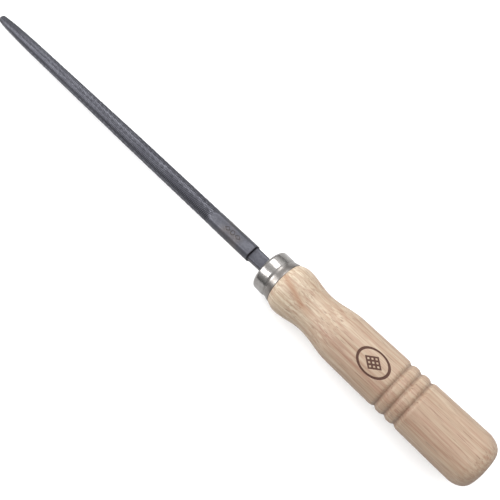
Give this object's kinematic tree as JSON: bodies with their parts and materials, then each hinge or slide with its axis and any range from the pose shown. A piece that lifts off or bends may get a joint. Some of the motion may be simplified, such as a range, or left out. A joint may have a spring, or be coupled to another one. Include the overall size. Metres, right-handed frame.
{
  "type": "round file",
  "caption": "Round file with a tapered toothed body, a flat ground at the heel, a square tang, a pressed steel ferrule and a turned wooden handle.",
  "frame": {"origin": "on the axis at the heel, where the round body ends and the tang begins; it is the heel end of the body_shank mount", "axes": "+X along the axis from the tip towards the handle's butt, +Z is the outward normal of the flat ground at the heel, +Y completes the right-handed frame"},
  "size_m": [0.3156, 0.022, 0.022],
  "materials": {
    "blade_steel": "dark hardened steel with fine cut teeth, satin",
    "ferrule_steel": "bright pressed steel, slightly scuffed",
    "handle_wood": "pale turned hardwood, sanded and unvarnished"
  },
  "bodies": {
    "root": {"file_blade": "blade_steel", "ferrule": "ferrule_steel", "handle": "handle_wood"}
  },
  "joints": []
}
